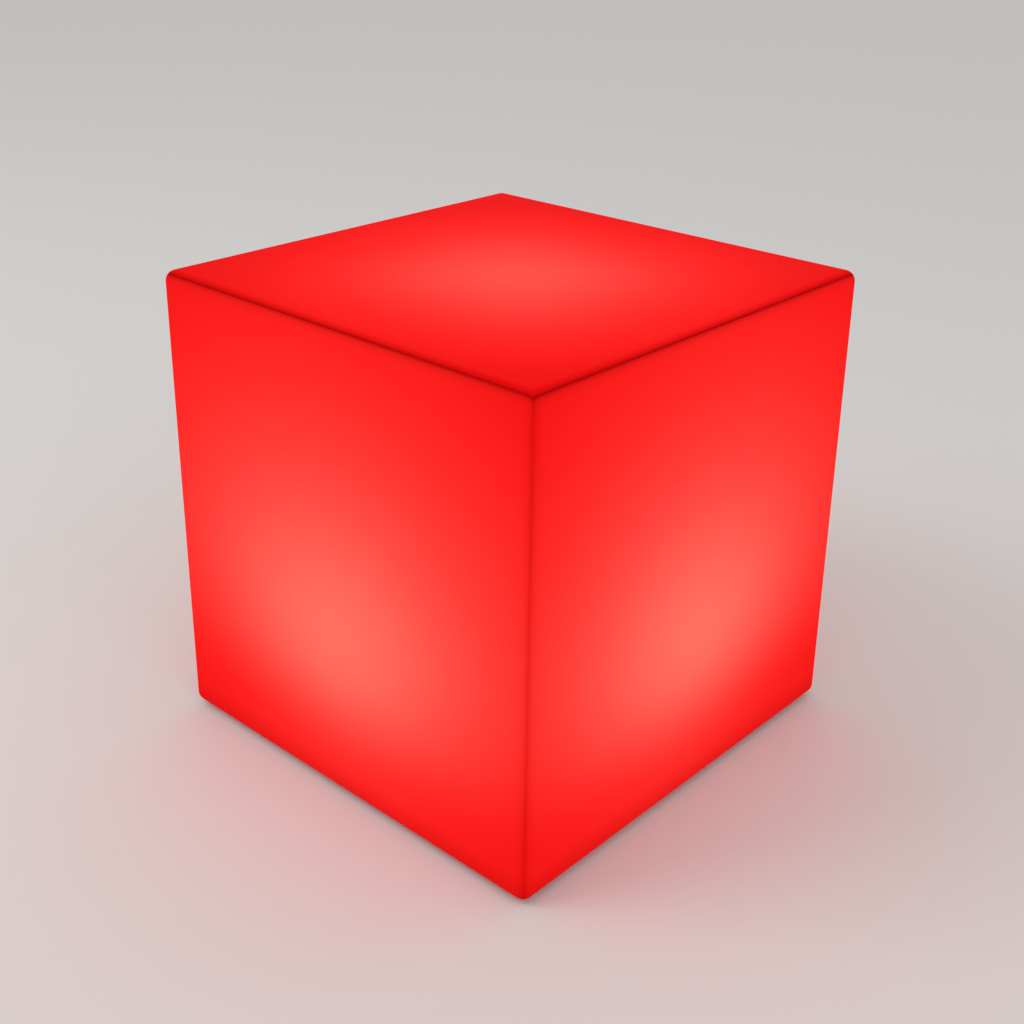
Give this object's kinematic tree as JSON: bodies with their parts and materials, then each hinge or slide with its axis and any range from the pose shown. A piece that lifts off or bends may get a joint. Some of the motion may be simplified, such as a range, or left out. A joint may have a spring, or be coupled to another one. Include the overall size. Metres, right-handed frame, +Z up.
{
  "type": "led cube light",
  "caption": "Hollow glowing cube for garden or terrace on rubber feet, with a twist-lock light engine, push button and charging socket in its underside.",
  "frame": {"origin": "on the floor under the middle of the cube, at the foot of its rubber feet", "axes": "+Z up; X and Y square to the cube's walls; +X towards the side of the push button under the base"},
  "size_m": [0.3998, 0.3998, 0.4],
  "materials": {
    "lit_shell": "fine satin of a rotational moulding, milky and lit red from inside",
    "foot_rubber": "matt moulded rubber",
    "white_abs": "fine spark-eroded texture",
    "button_plastic": "satin",
    "seal_rubber": "smooth",
    "plug_silicone": "soft matt silicone",
    "brass": "machined",
    "steel": "zinc-plated or stainless, satin",
    "frosted_lens": "frosted polycarbonate lit from behind",
    "clear_plastic": "clear acrylic",
    "white_mask_board": "white solder mask on aluminium",
    "green_mask_board": "green solder mask on glass-epoxy",
    "led_package": "white package, lit red",
    "chip_epoxy": "moulded epoxy",
    "can": "drawn can",
    "ferrite": "sintered and ground",
    "connector_nylon": "moulded nylon",
    "cell_wrap": "heat-shrunk sleeve",
    "foam": "closed-cell foam",
    "wire_red": "silicone insulation"
  },
  "bodies": {
    "shell": {"cube_shell": "lit_shell", "feet": "foot_rubber", "collar_inserts": "brass", "collar": "white_abs", "collar_gasket": "seal_rubber", "collar_screws": "steel"},
    "light_engine": {"engine_base": "white_abs", "engine_seal": "seal_rubber", "lens_gasket": "seal_rubber", "lens_cover": "frosted_lens", "lens_screws": "steel", "led_board": "white_mask_board", "led_board_screws": "steel", "led_chips": "led_package", "remote_receiver": "chip_epoxy", "control_board": "green_mask_board", "control_board_screws": "steel", "control_chips": "chip_epoxy", "capacitors": "can", "charger_coil": "ferrite", "led_connector": "connector_nylon", "switch_body": "chip_epoxy", "charge_socket": "chip_epoxy", "socket_nut": "steel", "charge_window": "clear_plastic", "battery_cells": "cell_wrap", "battery_pads": "foam", "battery_leads": "wire_red", "led_leads": "wire_red"},
    "power_button": {"power_button": "button_plastic", "button_ring": "seal_rubber", "switch_plunger": "button_plastic"},
    "port_plug": {"port_plug": "plug_silicone"}
  },
  "joints": [
    {"name": "engine_twist", "type": "hinge", "parent": "shell", "child": "light_engine", "pos_m": [0, 0, 0.0125], "axis": [0, 0, -1], "range_deg": [0, 45]},
    {"name": "button_press", "type": "slide", "parent": "light_engine", "child": "power_button", "axis": [0, 0, 1], "range_m": [0, 0.0008], "stiffness_N_per_m": 600},
    {"name": "plug_pull", "type": "slide", "parent": "light_engine", "child": "port_plug", "axis": [0, 0, -1], "range_m": [0, 0.0044]}
  ]
}
